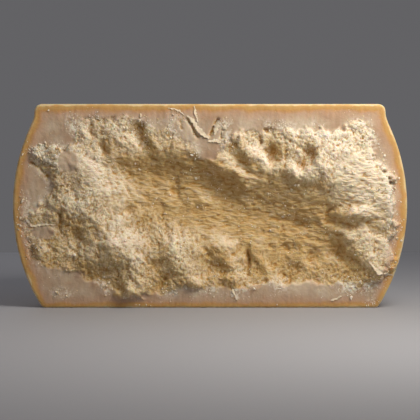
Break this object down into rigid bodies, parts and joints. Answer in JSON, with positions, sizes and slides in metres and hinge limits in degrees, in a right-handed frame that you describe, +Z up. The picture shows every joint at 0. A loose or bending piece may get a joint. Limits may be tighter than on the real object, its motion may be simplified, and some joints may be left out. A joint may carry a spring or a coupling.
{
  "type": "half wheel of hard cheese",
  "caption": "Half wheel of grana padano standing on its flat side, with a scored rim and a crumbly broken face in front and the round rind behind.",
  "frame": {"origin": "bottom centre of the half wheel's bounding box, on the table it stands on", "axes": "+Z up along the wheel's axis, the broken face looks towards -Y, the round rind towards +Y, +X along the face"},
  "size_m": [0.425, 0.2312, 0.22],
  "materials": {
    "cheese": "dry, grainy straw-yellow paste, broken by hand inside a smooth knife-scored rim",
    "rind": "hard golden-brown rind, rubbed with oil to a low sheen"
  },
  "bodies": {
    "root": {"grana_padano_half_wheel": "cheese"}
  },
  "joints": []
}
